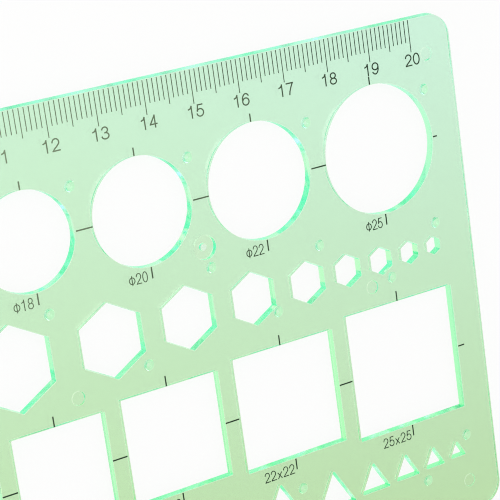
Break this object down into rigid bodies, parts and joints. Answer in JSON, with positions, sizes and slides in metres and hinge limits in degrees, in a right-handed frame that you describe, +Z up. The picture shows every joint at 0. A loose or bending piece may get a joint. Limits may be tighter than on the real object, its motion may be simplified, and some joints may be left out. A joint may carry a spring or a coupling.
{
  "type": "drafting template",
  "caption": "Flat clear green plastic drafting template with rows of round, hexagonal, square and triangular cut-outs to draw round and a centimetre scale printed along one long edge.",
  "frame": {"origin": "under the middle of the sheet, on the plane of the dome crowns, where the template meets the paper", "axes": "+X along the printed scale in the direction that its numbers grow, +Y across the sheet towards the scale's edge, +Z up out of the printed face"},
  "size_m": [0.22, 0.104, 0.0023],
  "materials": {
    "tinted_clear_plastic": "clear moulded plastic with a light green tint, polished faces and edges",
    "screen_ink": "thin film of dark matte screen-printing ink"
  },
  "bodies": {
    "root": {"template_sheet": "tinted_clear_plastic", "scale_line_000mm": "screen_ink", "scale_line_005mm": "screen_ink", "scale_line_010mm": "screen_ink", "scale_line_015mm": "screen_ink", "scale_line_020mm": "screen_ink", "scale_line_025mm": "screen_ink", "scale_line_030mm": "screen_ink", "scale_line_035mm": "screen_ink", "scale_line_040mm": "screen_ink", "scale_line_045mm": "screen_ink", "scale_line_050mm": "screen_ink", "scale_line_055mm": "screen_ink", "scale_line_060mm": "screen_ink", "scale_line_065mm": "screen_ink", "scale_line_070mm": "screen_ink", "scale_line_075mm": "screen_ink", "scale_line_080mm": "screen_ink", "scale_line_085mm": "screen_ink", "scale_line_090mm": "screen_ink", "scale_line_095mm": "screen_ink", "scale_line_100mm": "screen_ink", "scale_line_105mm": "screen_ink", "scale_line_110mm": "screen_ink", "scale_line_115mm": "screen_ink", "scale_line_120mm": "screen_ink", "scale_line_125mm": "screen_ink", "scale_line_130mm": "screen_ink", "scale_line_135mm": "screen_ink", "scale_line_140mm": "screen_ink", "scale_line_145mm": "screen_ink", "scale_line_150mm": "screen_ink", "scale_line_155mm": "screen_ink", "scale_line_160mm": "screen_ink", "scale_line_165mm": "screen_ink", "scale_line_170mm": "screen_ink", "scale_line_175mm": "screen_ink", "scale_line_180mm": "screen_ink", "scale_line_185mm": "screen_ink", "scale_line_190mm": "screen_ink", "scale_line_195mm": "screen_ink", "scale_line_200mm": "screen_ink"}
  },
  "joints": []
}
